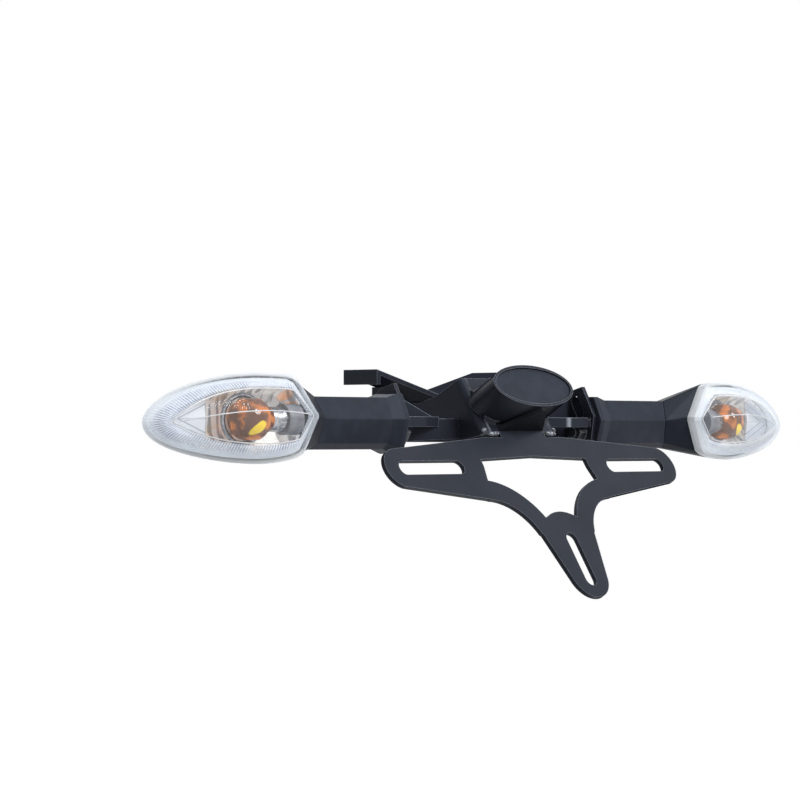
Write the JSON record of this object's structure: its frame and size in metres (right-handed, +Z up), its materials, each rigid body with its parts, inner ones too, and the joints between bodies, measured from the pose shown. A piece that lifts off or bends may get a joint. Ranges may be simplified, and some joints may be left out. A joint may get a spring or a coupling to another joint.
{
  "type": "tail tidy",
  "caption": "Motorbike tail tidy: folded steel number plate holder and spine, oval tube stub, side arms carrying slim indicators, and a flat bolt-on mounting plate.",
  "frame": {"origin": "centre of the four mounting holes, on the top face of the mounting plate", "axes": "+X to the rider's right, +Y forward, +Z up out of the mounting face; the number plate faces -Y and leans"},
  "size_m": [0.4112, 0.1836, 0.0987],
  "materials": {
    "steel": "satin black powder coat",
    "rubber": "matt",
    "plastic": "satin black",
    "lens": "clear",
    "reflector": "bright",
    "bulb_glass": "amber",
    "zinc": "bright zinc"
  },
  "bodies": {
    "root": {"plate_holder": "steel", "tube": "steel", "tube_plug": "rubber", "tube_gusset": "steel", "tube_weld": "steel", "mounting_plate": "steel", "tail_cradle": "steel", "left_arm": "steel", "right_arm": "steel", "left_side_plate": "steel", "right_side_plate": "steel", "left_stem": "rubber", "right_stem": "rubber", "left_stud": "zinc", "right_stud": "zinc", "left_washer": "zinc", "right_washer": "zinc", "left_nut": "zinc", "right_nut": "zinc", "left_housing": "plastic", "right_housing": "plastic", "left_seal": "rubber", "right_seal": "rubber", "left_lens": "lens", "right_lens": "lens", "left_reflector": "reflector", "right_reflector": "reflector", "left_bulb_holder": "plastic", "right_bulb_holder": "plastic", "left_bulb_cap": "zinc", "right_bulb_cap": "zinc", "left_bulb_glass": "bulb_glass", "right_bulb_glass": "bulb_glass"}
  },
  "joints": []
}
